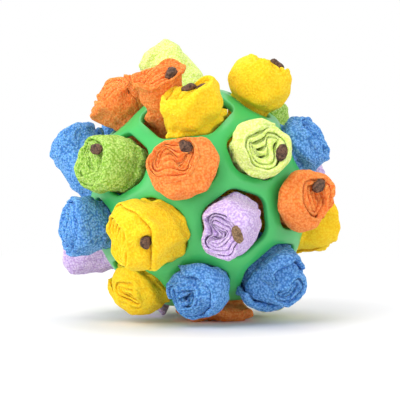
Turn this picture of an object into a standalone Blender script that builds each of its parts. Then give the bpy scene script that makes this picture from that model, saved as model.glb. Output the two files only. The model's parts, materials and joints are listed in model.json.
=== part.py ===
"""A snuffle ball for dogs.

A moulded rubber lattice ball holds a rolled strip of fleece in each of its holes, and dry treats
are tucked into the rolls. Metres, +Z up, front at -Y. Each roll pulls straight out of its hole.
"""
import math
from dataclasses import dataclass

import bmesh
import bpy
from mathutils import Matrix, Vector
from mathutils.bvhtree import BVHTree

# Rubber ball: twelve five-sided and twenty six-sided holes between round-cornered struts
BALL_RADIUS = 0.0600
WALL = 0.0045
STRUT_WIDTH = 0.0085
HOLE_FILLET = 0.0085
ROUNDEST_SHARE = 0.9
RIM_ROUND = 0.0013
STRUT_CROWN = 0.0004
# How the ball lies: where its front five-sided hole faces, and the turn about that hole's axis
FRONT_AZIMUTH = -6.0
FRONT_ELEVATION = 16.5
LATTICE_SPIN = -12.0
# The top hole holds two rolls, which push its struts apart
SHARED_HOLE_AZIMUTH = -12.5
SHARED_HOLE_ELEVATION = 53.5
STRETCH_ANGLE = 5.5
STRETCH_SPREAD = 21.5
STRETCH_PEAK = 23.8

# The lowest rolls hold the ball off the ground, and are pressed flat by this depth
STAND_RISE = 0.0050
STAND_HEIGHT = BALL_RADIUS + STAND_RISE
PRESS_DEPTH = 0.0005
PRESS_STEPS = 30
LONGEST_SHARE = 2.0

# Fleece rolls
SEAT_GAP = 0.0003
TAIL_REACH = 0.0330
HEAD_LENGTH = 0.0200
HEAD_RADIUS = 0.0168
TURN_GAP = 0.0007
STEPS_PER_TURN = 9
STRIP_STEPS = 16
STRIP_SHARE = 0.25
CORE_HOLE_SHARE = 0.12
ROUND_SHARE = 0.5
BULGE_SHARE = 0.5
BULGE_LEAN_SHARE = 0.42
END_SHARE = 0.9
SNUG_SHARES = (0.75, 1.20)
SNUG_STEPS = 9

# Treats
TREAT_LENGTH = 0.0088
TREAT_WIDTH = 0.0057
TREAT_HEIGHT = 0.0048
APPROACH = 0.0300
PROBE_STEPS = 80

# The cutter under the ground plane
CUTTER_SIDE = 0.2400
CUTTER_DEPTH = 0.0300

ARC_POINTS = 5
EDGE_SHARES = (0.0, 0.14, 0.36)
MERGE = 0.000002
SHARP_ANGLE = 50.0

ORANGE = ("fleece_orange", (0.95, 0.36, 0.10))
YELLOW = ("fleece_yellow", (0.98, 0.66, 0.06))
GREEN = ("fleece_green", (0.38, 0.62, 0.12))
LIME = ("fleece_lime", (0.72, 0.88, 0.22))
BLUE = ("fleece_blue", (0.10, 0.33, 0.70))
LAVENDER = ("fleece_lavender", (0.60, 0.43, 0.80))
RUBBER = ("rubber_green", (0.06, 0.45, 0.13))
KIBBLE = ("kibble_brown", (0.13, 0.06, 0.035))
RUBBER_ROUGHNESS = 0.45
SOFT_ROUGHNESS = 0.95


@dataclass
class Roll:
    """One rolled strip: the way its hole faces, its colour, and how it sits there.

    Lean and offset are shares of the head's length and of the hole's inner radius. Widths across
    and up are shares of the same radius at the waist, and of the head's radius above it. A roll
    that shares its hole has a side angle: it keeps to that side of the hole's axis.
    """

    name: str
    colour: tuple
    azimuth: float
    elevation: float
    lean_shares: tuple = (0.0, 0.0)
    length_share: float = 1.0
    end_shares: tuple = (1.0, 1.0)
    bulge_shares: tuple = (1.0, 1.0)
    waist_shares: tuple = (1.0, 1.0)
    offset_shares: tuple = (0.0, 0.0)
    phase: float = 0.0
    winding: int = 1
    core_share: float = 0.0
    side_angle: float = None
    stands: bool = False
    end_down: bool = False


ROLLS = [
    Roll("orange_front", ORANGE, -6, 17, (-0.14, 0.05), 0.85, (1.04, 1.0), (1.06, 1.02),
         phase=-10, core_share=-0.12),
    Roll("lavender_front", LAVENDER, 18, -12, (-0.66, 0.04), 0.90, (0.90, 0.90), (0.90, 0.90),
         (0.86, 0.86), (-0.13, 0.0), phase=-90, core_share=-0.12),
    Roll("lime_right", LIME, 32, 28, (-0.52, -0.38), 0.85, (0.93, 0.93), (0.93, 0.93),
         (0.90, 0.90), (-0.06, -0.06), phase=-95, core_share=-0.14),
    Roll("yellow_left", YELLOW, -25, -16, (-0.46, 0.04), 1.00, (1.04, 1.04), (1.08, 1.08),
         phase=160),
    Roll("green_left", GREEN, -46, 20, (-0.06, -0.22), 1.00, (0.98, 0.98), (1.0, 1.0), phase=30,
         core_share=-0.14),
    Roll("yellow_top", YELLOW, -12, 54, (-0.25, 0.0), 0.90, (0.90, 1.06), (0.76, 1.0),
         (0.46, 0.80), (0.0, 0.0), phase=-100, core_share=-0.10, side_angle=-50),
    Roll("orange_top", ORANGE, -12, 54, (0.04, 0.08), 1.15, (0.72, 1.0), (0.55, 0.80),
         (0.42, 0.48), (0.0, 0.30), phase=60, core_share=-0.10, side_angle=130),
    Roll("orange_top_left", ORANGE, -75, 50, (0.02, -0.04), 1.00, (0.93, 0.93), (0.95, 0.95),
         phase=30),
    Roll("lime_top", LIME, -140, 82, (0.36, -0.44), 1.40, (0.92, 0.92), (0.88, 0.88),
         (0.92, 0.92), phase=200),
    Roll("yellow_top_right", YELLOW, 59, 60, (-0.42, -0.14), 1.10, (1.0, 1.0), (0.98, 0.98),
         phase=-70, core_share=-0.12),
    Roll("blue_right", BLUE, 80, 26, (-0.40, 0.10), 0.62, (0.96, 0.96), (0.96, 0.96),
         (0.95, 0.95), phase=20),
    Roll("orange_right", ORANGE, 55, -3, (-0.50, 0.14), 0.85, (1.02, 1.02), (1.02, 1.02),
         phase=-10, core_share=-0.12),
    Roll("blue_bottom", BLUE, 2, -47, (-0.50, 0.30), 0.72, (1.0, 1.0), (1.0, 1.0),
         phase=90, winding=-1),
    Roll("blue_bottom_right", BLUE, 53, -40, (-0.50, 0.34), 0.80, (1.06, 1.06), (1.06, 1.06),
         phase=180),
    Roll("yellow_bottom_left", YELLOW, -56, -50, (0.36, 0.44), 0.62, (0.94, 0.94), (0.94, 0.94),
         phase=140),
    Roll("blue_left", BLUE, -63, -13, (0.14, 0.20), 1.04, (0.90, 0.90), (0.90, 0.90), phase=200),
    Roll("lavender_bottom_left", LAVENDER, -100, -26, (-0.20, 0.30), 1.02, (0.98, 0.98),
         (0.98, 0.98), phase=0),
    Roll("blue_left_back", BLUE, -89, 14, (-0.34, 0.82), 0.92, (0.98, 0.98), (0.98, 0.98),
         phase=80),
    Roll("orange_bottom", ORANGE, 40, -82, (0.60, 0.60), 0.40, (1.08, 1.08), (0.84, 0.84),
         phase=45, stands=True, end_down=True),
    Roll("yellow_right", YELLOW, 91, -14, (0.14, 0.50), 0.64, (1.0, 1.0), (1.02, 1.02),
         phase=260),
    Roll("lavender_bottom", LAVENDER, -121, -60, (0.30, 0.0), 0.60, (0.94, 0.94), (0.76, 0.76),
         phase=10, stands=True),
    Roll("lavender_right_back", LAVENDER, 117, 13, (-0.10, 0.05), 0.85, (0.90, 0.90),
         (0.90, 0.90), phase=310),
    Roll("yellow_left_back", YELLOW, -125, 3, (0.10, 0.05), 0.85, (0.90, 0.90), (0.90, 0.90),
         phase=330),
    Roll("lime_bottom_back", LIME, 105, -50, (0.0, 0.05), 0.80, (0.90, 0.90), (0.90, 0.90),
         phase=220, stands=True),
    Roll("orange_back_bottom", ORANGE, 168, -54, (0.05, 0.0), 0.70, (0.96, 0.96), (0.98, 0.98),
         phase=100, stands=True),
    Roll("blue_top_left_back", BLUE, -127, 40, (0.15, 0.10), 0.95, (0.96, 0.96), (1.0, 1.0),
         phase=15, winding=-1),
    Roll("green_top_right_back", GREEN, 124, 50, (0.22, 0.0), 0.80, (0.96, 0.96), (1.0, 1.0),
         phase=75),
    Roll("lavender_top_back", LAVENDER, -178, 46, (0.0, -0.05), 0.90, (0.92, 0.92), (0.92, 0.92),
         phase=145, core_share=-0.12),
    Roll("orange_left_back", ORANGE, -162, 12, (0.10, 0.12), 1.00, (0.98, 0.98), (1.0, 1.0),
         phase=40, core_share=-0.14),
    Roll("yellow_back_right", YELLOW, 155, 16, (-0.12, 0.12), 1.00, (1.0, 1.0), (1.04, 1.04),
         phase=-45, core_share=-0.12),
    Roll("green_left_back", GREEN, -148, -28, (-0.08, 0.10), 0.95, (0.98, 0.98), (1.0, 1.0),
         phase=325),
    Roll("lime_back", LIME, 174, -17, (0.08, 0.0), 0.90, (0.92, 0.92), (0.92, 0.92), phase=35,
         winding=-1),
    Roll("blue_right_back", BLUE, 134, -20, (0.12, 0.08), 0.95, (0.98, 0.98), (1.0, 1.0),
         phase=95),
]


@dataclass
class Treat:
    """One dry treat: the roll that holds it, where it lies round the roll's end, and its turn.

    Turn 0 lays it along the strip. With height_share it lies against the roll's side instead,
    at that share of the way from the bulge to the end.
    """

    name: str
    roll: str
    angle: float
    turn: float = 0.0
    radius_share: float = 0.50
    height_share: float = None


TREATS = [
    Treat("kibble_orange_front", "orange_front", 75, 25),
    Treat("kibble_lavender_front", "lavender_front", 0, 28, 0.72),
    Treat("kibble_lime_right", "lime_right", -25, 5, 0.64),
    Treat("kibble_yellow_left", "yellow_left", 5, 90, height_share=1.6),
    Treat("kibble_green_left", "green_left", 48, 30, 0.45),
    Treat("kibble_yellow_top_a", "yellow_top", 165, 10),
    Treat("kibble_yellow_top_b", "yellow_top", 95, 0),
    Treat("kibble_orange_top", "orange_top", -145, 0, 0.85),
    Treat("kibble_yellow_top_right", "yellow_top_right", 5, 0, 0.68),
    Treat("kibble_orange_right", "orange_right", 60, 35, 0.60),
    Treat("kibble_back_right", "yellow_back_right", 45, 15),
    Treat("kibble_back_left", "orange_left_back", 130, 0),
    Treat("kibble_back_top", "lavender_top_back", -125, 10),
]


def direction(azimuth, elevation):
    """A unit vector from the ball's centre. Azimuth 0 is the front and grows towards +X."""
    a = math.radians(azimuth)
    e = math.radians(elevation)
    return Vector((math.sin(a) * math.cos(e), -math.cos(a) * math.cos(e), math.sin(e)))


def frame_about(axis):
    """A frame whose Z is the axis and whose Y leans upwards: right, up and out of a hole."""
    right = Vector((0.0, 0.0, 1.0)).cross(axis).normalized()
    return Matrix((right, axis.cross(right), axis)).transposed()


def smooth_step(x):
    """0 to 1 with level ends."""
    x = min(max(x, 0.0), 1.0)
    return x * x * (3 - 2 * x)


def mesh_of(builder, name, colour):
    """Turns a bmesh into a mesh with its material."""
    bmesh.ops.recalc_face_normals(builder, faces=builder.faces)
    mesh = bpy.data.meshes.new(name)
    builder.to_mesh(mesh)
    builder.free()
    mesh.shade_smooth()
    mesh.set_sharp_from_angle(angle=math.radians(SHARP_ANGLE))
    mesh.materials.append(material(*colour))
    return mesh


def finish(builder, name, colour, parent):
    """Turns a bmesh into a named object with its material."""
    piece = bpy.data.objects.new(name, mesh_of(builder, name, colour))
    bpy.context.collection.objects.link(piece)
    piece.parent = parent
    return piece


def material(name, colour):
    """A plain material: matt for the fleece and the treats, a little gloss for the rubber."""
    found = bpy.data.materials.get(name)
    if found:
        return found
    made = bpy.data.materials.new(name)
    made.use_nodes = True
    shader = made.node_tree.nodes["Principled BSDF"]
    shader.inputs["Base Color"].default_value = (*colour, 1.0)
    gloss = RUBBER_ROUGHNESS if name == RUBBER[0] else SOFT_ROUGHNESS
    shader.inputs["Roughness"].default_value = gloss
    shader.inputs["Metallic"].default_value = 0.0
    return made


def lattice_cells():
    """The ball's 32 cells as lists of corners on the sphere, in order round each cell."""
    cage = bmesh.new()
    bmesh.ops.create_icosphere(cage, subdivisions=1, radius=BALL_RADIUS)
    bmesh.ops.bevel(cage, geom=cage.verts[:], offset=100 / 3, offset_type="PERCENT",
                    affect="VERTICES", segments=1, profile=0.5)
    pose = frame_about(direction(FRONT_AZIMUTH, FRONT_ELEVATION))
    pose = pose @ Matrix.Rotation(math.radians(LATTICE_SPIN), 3, "Z")
    shared = direction(SHARED_HOLE_AZIMUTH, SHARED_HOLE_ELEVATION)
    shared = min((pose @ face.calc_center_median() for face in cage.faces),
                 key=lambda c: c.angle(shared)).normalized()
    for vert in cage.verts:
        vert.co = pushed_apart((pose @ vert.co).normalized(), shared) * BALL_RADIUS
    cells = [[v.co.copy() for v in face.verts] for face in cage.faces]
    cage.free()
    return cells


def pushed_apart(point, hole):
    """Moves a point of the sphere away from the hole that two rolls stretch."""
    away = math.degrees(point.angle(hole))
    push = STRETCH_ANGLE * math.exp(-((away - STRETCH_PEAK) / STRETCH_SPREAD) ** 2)
    return Matrix.Rotation(math.radians(push), 3, hole.cross(point)) @ point


@dataclass
class Hole:
    """A hole of the lattice: its frame, its outline and its inner radius as an angle."""

    frame: Matrix
    corners: list
    outline: list
    rim: list
    angle: float


def hole_in(cell):
    """The round-cornered hole that leaves half a strut's width all round the cell.

    The outline is drawn on the plane that touches the ball at the hole's axis.
    """
    axis = sum(cell, Vector()).normalized()
    frame = frame_about(axis)
    flat = []
    for corner in cell:
        local = frame.transposed() @ corner
        flat.append(Vector((local.x, local.y)) * (BALL_RADIUS / local.z))
    if sum(a.cross(b) for a, b in zip(flat, flat[1:] + flat[:1])) < 0:
        flat.reverse()
        cell = cell[::-1]
    lines = []
    for start, end in zip(flat, flat[1:] + flat[:1]):
        normal = Vector((end.y - start.y, start.x - end.x)).normalized()
        edge = math.atan(normal.dot(start) / BALL_RADIUS)
        lines.append((normal, BALL_RADIUS * math.tan(edge - STRUT_WIDTH / 2 / BALL_RADIUS)))
    outline = []
    rim = []
    for (n0, d0), (n1, d1) in zip(lines[-1:] + lines[:-1], lines):
        fillet = min(HOLE_FILLET, ROUNDEST_SHARE * min(d0, d1))
        centre = line_crossing(n0, d0 - fillet, n1, d1 - fillet)
        turn = n0.angle_signed(n1)
        for step in range(ARC_POINTS):
            ray = Matrix.Rotation(-turn * step / (ARC_POINTS - 1), 2) @ n0
            outline.append(sphere_ray(frame, centre + ray * fillet))
            rim.append(sphere_ray(frame, centre + ray * (fillet + RIM_ROUND)))
    inner = min(distance for _, distance in lines)
    return Hole(frame, cell, outline, rim, math.atan(inner / BALL_RADIUS))


def line_crossing(n0, d0, n1, d1):
    """Where the lines n0.p = d0 and n1.p = d1 cross."""
    cross = n0.x * n1.y - n0.y * n1.x
    return Vector(((d0 * n1.y - d1 * n0.y) / cross, (n0.x * d1 - n1.x * d0) / cross))


def sphere_ray(frame, point):
    """The unit vector from the ball's centre through a point of the hole's plane."""
    return (frame @ Vector((point.x, point.y, BALL_RADIUS))).normalized()


def cell_border(corners):
    """The strut centre lines round a cell, a point for each point of the hole's outline."""
    border = []
    for i, corner in enumerate(corners):
        before = corners[i - 1]
        after = corners[(i + 1) % len(corners)]
        for share in EDGE_SHARES[:0:-1]:
            border.append(corner.lerp(before, share).normalized())
        border.append(corner.normalized())
        for share in EDGE_SHARES[1:]:
            border.append(corner.lerp(after, share).normalized())
    return border


def hole_rings(hole):
    """The three rings of a hole's wall: on the crown, under the rounded rim and inside."""
    crown = BALL_RADIUS - STRUT_CROWN
    return [
        [ray * crown for ray in hole.rim],
        [ray * (crown - RIM_ROUND) for ray in hole.outline],
        [ray * (BALL_RADIUS - WALL) for ray in hole.outline],
    ]


def rubber_ball(holes, parent):
    """The lattice ball, one moulded piece: crowned struts, rounded rims and straight hole walls."""
    shell = bmesh.new()
    for hole in holes:
        border = cell_border(hole.corners)
        outside = [ray * BALL_RADIUS for ray in border]
        inside = [ray * (BALL_RADIUS - WALL) for ray in border]
        skin(shell, [outside, *hole_rings(hole), inside])
    bmesh.ops.remove_doubles(shell, verts=shell.verts, dist=MERGE)
    return finish(shell, "rubber_ball", RUBBER, parent)


def skin(builder, rings):
    """Joins closed rings of points, each to the next, with quads."""
    rows = [[builder.verts.new(point) for point in ring] for ring in rings]
    for row, above in zip(rows, rows[1:]):
        for i in range(len(row)):
            j = (i + 1) % len(row)
            builder.faces.new((row[i], row[j], above[j], above[i]))


def winding_steps(pitch):
    """The strip's outer and inner radius along its length, as shares of the roll's radius.

    The strip is round for half a turn, dives under its own end in the other half, and is folded
    thick from its second turn on, which fills the core.
    """
    steps = []
    for step in range(STRIP_STEPS + 1):
        whole, part = divmod(step, STEPS_PER_TURN)
        dive = smooth_step((part / STEPS_PER_TURN - ROUND_SHARE) / (1 - ROUND_SHARE))
        outer = 1 - pitch * (whole + dive)
        inner = outer - STRIP_SHARE if whole == 0 else min(CORE_HOLE_SHARE, outer / 2)
        steps.append((step / STEPS_PER_TURN, outer, inner))
    return steps


@dataclass
class Station:
    """A cross-section of a roll: its centre, its half widths and the way it faces."""

    centre: Vector
    half_width: float
    half_height: float
    facing: Vector


def seat_of(hole):
    """Height and radius of the narrowest ring of a hole's rounded rim."""
    rim_radius = BALL_RADIUS - STRUT_CROWN - RIM_ROUND
    return rim_radius * math.cos(hole.angle), rim_radius * math.sin(hole.angle)


def roll_stations(roll, frame, hole, head_length, snug=1.0):
    """Tail, waist, bulge and end of a roll, in its own frame with the waist's plane at zero."""
    seat_height, seat_radius = seat_of(hole)
    waist = [(seat_radius - SEAT_GAP) * share * snug for share in roll.waist_shares]
    bulge = [HEAD_RADIUS * share for share in roll.bulge_shares]
    end = [HEAD_RADIUS * END_SHARE * share for share in roll.end_shares]
    offset = Vector((*roll.offset_shares, 0.0)) * seat_radius
    lean = Vector((*roll.lean_shares, 0.0)) * head_length
    out = Vector((0.0, 0.0, 1.0))
    tail = TAIL_REACH / seat_height
    bulge_centre = offset + lean * BULGE_LEAN_SHARE + out * (head_length * BULGE_SHARE)
    end_centre = offset + lean + out * head_length
    facing = (end_centre - bulge_centre).normalized()
    if roll.end_down:
        facing = frame.transposed() @ Vector((0.0, 0.0, -1.0))
    stations = [
        Station(offset * tail + out * (TAIL_REACH - seat_height),
                waist[0] * tail, waist[1] * tail, out),
        Station(offset, *waist, out),
        Station(bulge_centre, *bulge, (out + facing).normalized()),
        Station(end_centre, *end, facing),
    ]
    if roll.side_angle is not None:
        for station in stations:
            station.centre.x += station.half_width + SEAT_GAP
    return stations


def roll_rows(roll, stations):
    """The points of a roll: for each station, pairs on the strip's outer and inner face."""
    rows = []
    for station in stations:
        tilt = Vector((0.0, 0.0, 1.0)).rotation_difference(station.facing)
        narrow = min(station.half_width, station.half_height)
        pairs = []
        for turns, outer, inner in winding_steps(STRIP_SHARE + TURN_GAP / narrow):
            angle = math.radians(roll.phase) + roll.winding * turns * 2 * math.pi
            ray = Vector((math.cos(angle) * station.half_width,
                          math.sin(angle) * station.half_height, 0.0))
            rise = Vector()
            if station is stations[-1] and turns >= 1:
                rise.z = 2 * roll.core_share * narrow
            pairs.append([station.centre + tilt @ (ray * share + rise)
                          for share in (outer, inner)])
        rows.append(pairs)
    return rows


def strip_mesh(rows):
    """The closed surface of a wound strip that runs through the rows."""
    strip = bmesh.new()
    verts = [[[strip.verts.new(p) for p in pair] for pair in row] for row in rows]
    last = len(rows[0]) - 1
    for row, above in zip(verts, verts[1:]):
        for i in range(last):
            for side in (0, 1):
                strip.faces.new((row[i][side], row[i + 1][side], above[i + 1][side], above[i][side]))
        for i in (0, last):
            strip.faces.new((row[i][0], row[i][1], above[i][1], above[i][0]))
    for row in (verts[0], verts[-1]):
        for i in range(last):
            strip.faces.new((row[i][0], row[i + 1][0], row[i + 1][1], row[i][1]))
    return strip


def pressing_length(roll, frame, hole, seat):
    """The head length at which a roll's lowest point lies PRESS_DEPTH under the ground."""
    shortest = 0.0
    longest = HEAD_LENGTH * LONGEST_SHARE
    for _ in range(PRESS_STEPS):
        length = (shortest + longest) / 2
        rows = roll_rows(roll, roll_stations(roll, frame, hole, length))
        lowest = min((frame @ p + seat).z for row in rows for pair in row for p in pair)
        if lowest < -STAND_HEIGHT - PRESS_DEPTH:
            longest = length
        else:
            shortest = length
    return longest


def least_distance(points, tree, other_points, other_tree, shift):
    """The least distance between two closed shapes, the second one moved by the shift."""
    near = min(tree.find_nearest(p + shift)[3] for p in other_points)
    return min(near, min(other_tree.find_nearest(p - shift)[3] for p in points))


def snug_share(roll, frame, hole, seat, length, ball):
    """How much wider or narrower the waist gets, so that the seat gap is left in the hole."""
    place = Matrix.Translation(seat) @ frame.to_4x4()
    wall = [point for ring in hole_rings(hole) for point in ring]
    low, high = SNUG_SHARES
    for _ in range(SNUG_STEPS):
        snug = (low + high) / 2
        strip = strip_mesh(roll_rows(roll, roll_stations(roll, frame, hole, length, snug)))
        bmesh.ops.transform(strip, matrix=place, verts=strip.verts)
        tree = BVHTree.FromBMesh(strip)
        points = [v.co.copy() for v in strip.verts]
        strip.free()
        if tree.overlap(ball) or least_distance(points, tree, wall, ball, Vector()) < SEAT_GAP:
            high = snug
        else:
            low = snug
    return low


def fleece_roll(roll, holes, parent, ground, ball):
    """One strip, wound and tucked into its hole. Its local Z is the way that it pulls out."""
    aim = direction(roll.azimuth, roll.elevation)
    hole = min(holes, key=lambda h: h.frame.col[2].angle(aim))
    frame = hole.frame
    if roll.side_angle is not None:
        frame = frame @ Matrix.Rotation(math.radians(roll.side_angle), 3, "Z")
    seat = frame.col[2] * seat_of(hole)[0]
    length = HEAD_LENGTH * roll.length_share
    if roll.stands:
        length = pressing_length(roll, frame, hole, seat)
    snug = snug_share(roll, frame, hole, seat, length, ball)
    stations = roll_stations(roll, frame, hole, length, snug)
    rows = roll_rows(roll, stations)
    piece = finish(strip_mesh(rows), "roll_" + roll.name, roll.colour, parent)
    piece.matrix_local = Matrix.Translation(seat) @ frame.to_4x4()
    if roll.stands:
        cut = piece.modifiers.new("pressed_flat", "BOOLEAN")
        cut.operation = "DIFFERENCE"
        cut.solver = "EXACT"
        cut.object = ground
    least = min((a[1] - b[0]).length for row in rows
                for a, b in zip(row[:STEPS_PER_TURN], row[STEPS_PER_TURN:]))
    return piece, stations, least


def treat_mesh():
    """A small dry treat, longer than it is wide, as a mesh that all treats share."""
    builder = bmesh.new()
    bmesh.ops.create_icosphere(builder, subdivisions=2, radius=0.5)
    for vert in builder.verts:
        vert.co.x *= TREAT_LENGTH
        vert.co.y *= TREAT_WIDTH
        vert.co.z *= TREAT_HEIGHT
    return mesh_of(builder, "treat", KIBBLE)


def shape_of(mesh, turn):
    """A mesh's corners and middles of its edges after a turn, and its search tree."""
    points = [turn @ v.co for v in mesh.vertices]
    faces = [tuple(face.vertices) for face in mesh.polygons]
    middles = [(points[e.vertices[0]] + points[e.vertices[1]]) / 2 for e in mesh.edges]
    return points + middles, BVHTree.FromPolygons(points, faces)


def tuck_treat(treat, mesh, carrier, stations):
    """Moves a treat up to its roll until the seat gap is left. Its local Z is its way out."""
    end = stations[-1]
    bulge = stations[-2]
    angle = math.radians(treat.angle)
    ray = Vector((math.cos(angle), math.sin(angle), 0.0))
    if treat.height_share is None:
        approach = end.facing
        tilt = Vector((0.0, 0.0, 1.0)).rotation_difference(approach).to_matrix()
        target = end.centre + tilt @ ray * (end.half_width * treat.radius_share)
        turn = tilt @ Matrix.Rotation(angle + math.radians(treat.turn + 90), 3, "Z")
    else:
        approach = ray
        target = bulge.centre.lerp(end.centre, treat.height_share)
        turn = Matrix((Vector((0.0, 0.0, 1.0)).cross(ray), Vector((0.0, 0.0, 1.0)), ray))
        turn = turn.transposed() @ Matrix.Rotation(math.radians(treat.turn), 3, "Z")
    own = shape_of(mesh, turn)
    fixed = shape_of(carrier.data, Matrix.Identity(3))
    reach = APPROACH
    for _ in range(PROBE_STEPS):
        reach -= least_distance(*fixed, *own, target + approach * reach) - SEAT_GAP
    kibble = bpy.data.objects.new(treat.name, mesh)
    bpy.context.collection.objects.link(kibble)
    kibble.parent = carrier
    kibble.matrix_local = Matrix.Translation(target + approach * reach) @ turn.to_4x4()
    return kibble


def ground_cutter(parent):
    """A box under the ground plane, which presses the standing rolls flat."""
    builder = bmesh.new()
    bmesh.ops.create_cube(builder, size=1.0)
    for vert in builder.verts:
        vert.co.x *= CUTTER_SIDE
        vert.co.y *= CUTTER_SIDE
        vert.co.z = (vert.co.z - 0.5) * CUTTER_DEPTH
    cutter = finish(builder, "ground_cutter", RUBBER, parent)
    cutter.location = (0.0, 0.0, -STAND_HEIGHT)
    cutter.hide_render = True
    cutter.display_type = "WIRE"
    return cutter


def stand_over_origin(root, pieces):
    """Puts the middle of the part's outline over the origin, with the ground at zero height."""
    root.location = (0.0, 0.0, STAND_HEIGHT)
    bpy.context.view_layer.update()
    graph = bpy.context.evaluated_depsgraph_get()
    low = Vector((math.inf, math.inf))
    high = -low
    for piece in pieces:
        shown = piece.evaluated_get(graph)
        for vert in shown.to_mesh().vertices:
            place = shown.matrix_world @ vert.co
            for axis in (0, 1):
                low[axis] = min(low[axis], place[axis])
                high[axis] = max(high[axis], place[axis])
        shown.to_mesh_clear()
    root.location = (-(low.x + high.x) / 2, -(low.y + high.y) / 2, STAND_HEIGHT)


def main():
    for old in list(bpy.data.objects):
        bpy.data.objects.remove(old, do_unlink=True)
    root = bpy.data.objects.new("ball_centre", None)
    bpy.context.collection.objects.link(root)
    ground = ground_cutter(root)
    holes = [hole_in(cell) for cell in lattice_cells()]
    ball = rubber_ball(holes, root)
    ball_tree = shape_of(ball.data, Matrix.Identity(3))[1]
    pieces = [ball]
    made = {}
    least_gap = math.inf
    for roll in ROLLS:
        piece, stations, least = fleece_roll(roll, holes, root, ground, ball_tree)
        made[roll.name] = (piece, stations)
        pieces.append(piece)
        least_gap = min(least_gap, least)
    mesh = treat_mesh()
    for treat in TREATS:
        pieces.append(tuck_treat(treat, mesh, *made[treat.roll]))
    stand_over_origin(root, pieces)
    print(f"least gap between the turns of a roll: {least_gap * 1000:.2f} mm")


main()
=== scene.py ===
# The looks of the snuffle ball: rolled fleece strips and dry treats in a moulded rubber lattice.
import json
import math
from dataclasses import dataclass
from functools import cache, partial

import bmesh
import bpy
import numpy as np
from mathutils import Matrix, Vector, noise
from mathutils.bvhtree import BVHTree

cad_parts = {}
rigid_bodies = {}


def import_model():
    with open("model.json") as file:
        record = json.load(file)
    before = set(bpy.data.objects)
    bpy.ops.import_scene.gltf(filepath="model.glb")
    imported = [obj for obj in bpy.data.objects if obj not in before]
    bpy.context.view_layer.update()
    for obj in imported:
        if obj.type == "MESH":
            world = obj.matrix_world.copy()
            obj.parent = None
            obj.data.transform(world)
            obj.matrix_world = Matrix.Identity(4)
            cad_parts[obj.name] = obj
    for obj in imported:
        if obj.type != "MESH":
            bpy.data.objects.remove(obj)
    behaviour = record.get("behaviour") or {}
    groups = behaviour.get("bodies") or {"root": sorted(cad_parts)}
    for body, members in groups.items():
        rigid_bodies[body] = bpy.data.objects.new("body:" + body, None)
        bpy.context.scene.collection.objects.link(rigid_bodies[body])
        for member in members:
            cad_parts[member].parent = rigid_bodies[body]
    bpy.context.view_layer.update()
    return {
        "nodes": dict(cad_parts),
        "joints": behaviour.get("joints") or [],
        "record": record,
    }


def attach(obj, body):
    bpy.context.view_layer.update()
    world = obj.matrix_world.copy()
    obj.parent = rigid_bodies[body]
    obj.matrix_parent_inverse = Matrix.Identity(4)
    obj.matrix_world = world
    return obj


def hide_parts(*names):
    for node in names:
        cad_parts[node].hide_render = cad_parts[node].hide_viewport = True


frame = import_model()
OPENING = frame["record"]["physics"]["openings"][0]["box_m"]
BALL_CENTRE = (Vector(OPENING[0]) + Vector(OPENING[1])) / 2

# Rubber ball, as in the CAD. A cell is named by its azimuth and elevation in degrees.
BALL_RADIUS = 0.0600
WALL = 0.0045
STRUT_WIDTH = 0.0085
HOLE_FILLET = 0.0085
ROUNDEST_SHARE = 0.9
RIM_ROUND = 0.0013
STRUT_CROWN = 0.0004
CREST_SHARE = 0.7
CUT_PERCENT = 100 / 3
FRONT_CELL = (-6.0, 16.5)
LATTICE_SPIN = -12.0
SHARED_CELL = (-12.5, 53.5)
STRETCH_ANGLE = 5.5
STRETCH_SPREAD = 21.5
STRETCH_PEAK = 23.8
ARC_POINTS = 9
EDGE_SHARES = (0.0, 0.07, 0.16, 0.26, 0.38)
RIM_TURNS = (0.0, 22.5, 45.0, 67.5, 90.0)
INNER_ROUND = 0.0008
MERGE = 0.000002

# Fleece rolls, as in the CAD
PRESS_DEPTH = 0.0005
PRESS_STEPS = 30
SEAT_GAP = 0.0003
TAIL_REACH = 0.0330
HEAD_LENGTH = 0.0200
HEAD_RADIUS = 0.0168
BULGE_SHARE = 0.5
BULGE_LEAN_SHARE = 0.42
END_SHARE = 0.9

# The wound strip: how it turns in, and its thickness as a share of the room between turns
ROUND_SHARE = 0.30
LAST_SHARE = 0.10
THICK_SHARES = (0.74, 0.89)
THICK_WAVE = 2.3
THICK_WAVE_SHARES = (1.0, 0.37)
THICKEST = 0.0040
TAPER_TURNS = 0.03
BLUNT_SHARE = 0.04
INNERMOST_SHARE = 0.01
THINNEST_SHARE = 0.02
FULL_ROWS = 2

# Its outer end, its laps and its rim
EDGE_TURNS = 0.09
EDGE_SINK_SHARE = 0.5
FLAP_TURNS = 0.16
CUFF_RAMP = 0.16
CUT_RAMP = 0.12
TURN_STEP_SHARE = 0.018
TURN_STEP_WAVE = 0.6
RECESS_RAMP = 0.3
RECESS_START = 0.0040
RECESS_RISE = 0.0080
SLANT_SHARE = 0.5
CORNER_TURNS = 0.14
CORNER_DROP = 0.0040

# Its outline, its pleats in the hole, and how it fills the hole
OUTLINE_ORDERS = (2, 3, 4, 5)
OUTLINE_SHARE = 0.022
PLEAT_ORDERS = (7, 10, 13)
PLEAT_SHARE = 0.075
PLEAT_REACH = 0.0090
FILL_SHARE = 1.35
SIDE_FILL_SHARE = 1.7
FILL_REACH = 0.0050
HOLE_GAP = 0.0004
LIMIT_SLACK = 0.01
GROUND_GAP = 0.0001

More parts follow.
